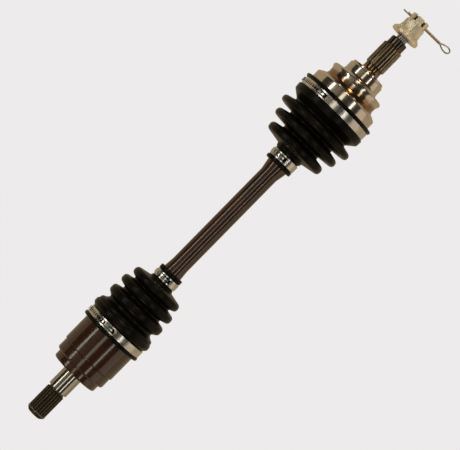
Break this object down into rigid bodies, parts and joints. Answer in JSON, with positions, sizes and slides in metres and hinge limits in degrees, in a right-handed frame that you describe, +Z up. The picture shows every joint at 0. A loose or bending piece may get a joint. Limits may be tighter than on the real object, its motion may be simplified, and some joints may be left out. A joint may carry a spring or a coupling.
{
  "type": "cv axle",
  "caption": "Constant velocity axle: a splined inner plunging joint and an outer fixed joint with bellows boots on one bar, with a castellated hub nut.",
  "frame": {"origin": "centre of the flat end of the inner stub, on the axle's axis", "axes": "+X along the axle from the inner stub to the hub nut, +Z up, +Y along the cotter pin towards its legs"},
  "size_m": [0.5827, 0.0948, 0.0948],
  "materials": {
    "brown_paint": "glossy dark red-brown paint",
    "forged_steel": "turned and hardened, satin grey",
    "dark_steel": "ground, oiled",
    "bright_steel": "polished",
    "clamp_steel": "bright rolled strip",
    "boot_rubber": "satin black",
    "yellow_zinc": "pale yellow zinc plating"
  },
  "bodies": {
    "shaft": {"axle_bar": "brown_paint", "outer_joint_inner_race": "dark_steel", "outer_race_circlip": "bright_steel", "inner_joint_inner_race": "dark_steel", "inner_race_circlip": "bright_steel", "inner_race_stop_ring": "bright_steel", "outer_boot_small_clamp": "clamp_steel", "inner_boot_small_clamp": "clamp_steel", "outer_boot": "boot_rubber"},
    "outer_lead_ball": {"outer_ball_1": "bright_steel"},
    "outer_cage_set": {"outer_cage": "dark_steel", "outer_ball_2": "bright_steel", "outer_ball_3": "bright_steel", "outer_ball_5": "bright_steel", "outer_ball_6": "bright_steel"},
    "outer_tail_ball": {"outer_ball_4": "bright_steel"},
    "hub_end": {"outer_housing": "forged_steel", "outer_boot_big_clamp": "clamp_steel", "hub_nut": "yellow_zinc", "cotter_pin": "clamp_steel"},
    "inner_lead_ball": {"inner_ball_1": "bright_steel"},
    "inner_cage_set": {"inner_cage": "dark_steel", "inner_ball_2": "bright_steel", "inner_ball_3": "bright_steel", "inner_ball_5": "bright_steel", "inner_ball_6": "bright_steel"},
    "inner_tail_ball": {"inner_ball_4": "bright_steel"},
    "inner_boot_body": {"inner_boot": "boot_rubber"},
    "gearbox_end": {"inner_housing": "brown_paint", "stopper_ring": "bright_steel", "inner_boot_big_clamp": "clamp_steel", "stub_circlip": "bright_steel"}
  },
  "joints": [
    {"name": "outer_lift_bend", "type": "hinge", "parent": "shaft", "child": "outer_lead_ball", "pos_m": [0.456, 0, 0], "axis": [0, 1, 0], "range_deg": [-10, 10], "deforming": ["outer_boot"]},
    {"name": "outer_side_bend", "type": "hinge", "parent": "outer_lead_ball", "child": "outer_cage_set", "pos_m": [0.456, 0, 0], "axis": [0, 0, 1], "range_deg": [-20, 20]},
    {"name": "outer_side_bend_second_half", "type": "hinge", "parent": "outer_cage_set", "child": "outer_tail_ball", "pos_m": [0.456, 0, 0], "axis": [0, 0, 1], "range_deg": [-20, 20]},
    {"name": "outer_lift_bend_second_half", "type": "hinge", "parent": "outer_tail_ball", "child": "hub_end", "pos_m": [0.456, 0, 0], "axis": [0, 1, 0], "range_deg": [-10, 10]},
    {"name": "inner_side_bend", "type": "hinge", "parent": "shaft", "child": "inner_lead_ball", "pos_m": [0.101, 0, 0], "axis": [0, 0, 1], "range_deg": [-5, 5], "deforming": ["inner_boot"]},
    {"name": "inner_lift_bend", "type": "hinge", "parent": "inner_lead_ball", "child": "inner_cage_set", "pos_m": [0.101, 0, 0], "axis": [0, 1, 0], "range_deg": [-10, 10]},
    {"name": "inner_lift_bend_second_half", "type": "hinge", "parent": "inner_cage_set", "child": "inner_tail_ball", "pos_m": [0.101, 0, 0], "axis": [0, 1, 0], "range_deg": [-10, 10]},
    {"name": "inner_side_bend_second_half", "type": "hinge", "parent": "inner_tail_ball", "child": "inner_boot_body", "pos_m": [0.101, 0, 0], "axis": [0, 0, 1], "range_deg": [-5, 5]},
    {"name": "plunge", "type": "slide", "parent": "inner_boot_body", "child": "gearbox_end", "axis": [1, 0, 0], "range_m": [-0.01, 0.01]}
  ],
  "couplings": [
    {"joint": "outer_lift_bend_second_half", "follows": "outer_lift_bend", "ratio": 1},
    {"joint": "outer_side_bend_second_half", "follows": "outer_side_bend", "ratio": 1},
    {"joint": "inner_lift_bend_second_half", "follows": "inner_lift_bend", "ratio": 1},
    {"joint": "inner_side_bend_second_half", "follows": "inner_side_bend", "ratio": 1}
  ]
}
